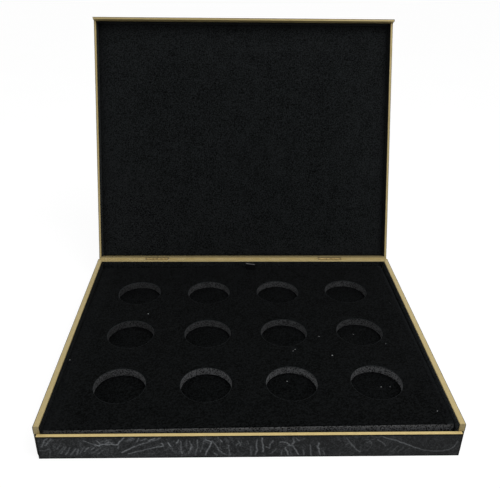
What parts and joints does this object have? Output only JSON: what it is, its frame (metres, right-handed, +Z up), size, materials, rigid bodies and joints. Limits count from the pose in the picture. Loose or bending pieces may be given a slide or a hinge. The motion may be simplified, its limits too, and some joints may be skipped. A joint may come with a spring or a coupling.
{
  "type": "coin display case",
  "caption": "Shallow display case, standing open, with a hinged lid and a lift-out velvet pad whose round wells hold coin capsules.",
  "frame": {"origin": "the middle of the tray's underside", "axes": "+X to the right, +Y to the hinged back, +Z up, as the case lies open with its front towards the viewer"},
  "size_m": [0.3526, 0.3988, 0.2969],
  "materials": {
    "gold_edge": "satin gold paint on the board's edges",
    "bare_board": "bare fibreboard",
    "black_wrap": "crinkled black leather-like wrap with a dull sheen",
    "black_velvet": "short black velvet",
    "grey_foam": "cut dark grey foam",
    "black_card": "black card",
    "black_satin": "black satin ribbon",
    "brass": "plain brass"
  },
  "bodies": {
    "tray": {"tray_floor_board": "bare_board", "tray_front_wall": "gold_edge", "tray_back_wall": "gold_edge", "tray_left_wall": "gold_edge", "tray_right_wall": "gold_edge", "tray_wrap": "black_wrap", "tray_base_sheet": "black_card", "tray_floor_lining": "black_velvet", "tray_lining_front": "black_velvet", "tray_lining_back": "black_velvet", "tray_lining_left": "black_velvet", "tray_lining_right": "black_velvet", "rest_strip_front": "bare_board", "rest_strip_back": "bare_board", "rest_strip_left": "bare_board", "rest_strip_right": "bare_board", "left_hinge_tray_leaf": "brass", "left_hinge_pin": "brass", "right_hinge_tray_leaf": "brass", "right_hinge_pin": "brass"},
    "lid": {"lid_panel": "bare_board", "lid_front_lip": "gold_edge", "lid_back_wall": "gold_edge", "lid_left_wall": "gold_edge", "lid_right_wall": "gold_edge", "lid_wrap": "black_wrap", "lid_liner_board": "black_card", "lid_liner_velvet": "black_velvet", "lid_lining_front": "black_velvet", "lid_lining_left": "black_velvet", "lid_lining_right": "black_velvet", "left_hinge_lid_leaf": "brass", "right_hinge_lid_leaf": "brass"},
    "coin_pad": {"pad_foam": "grey_foam", "pad_velvet": "black_velvet", "pad_well_velvet": "black_velvet", "pad_board": "black_card", "pull_ribbon": "black_satin"}
  },
  "joints": [
    {"name": "lid_hinge", "type": "hinge", "parent": "tray", "child": "lid", "pos_m": [0, 0.141, 0.03165], "axis": [-1, 0, 0], "range_deg": [-111.3, 0]},
    {"name": "pad_lift", "type": "slide", "parent": "tray", "child": "coin_pad", "axis": [0, 0, 1], "range_m": [0, 0.01]}
  ]
}
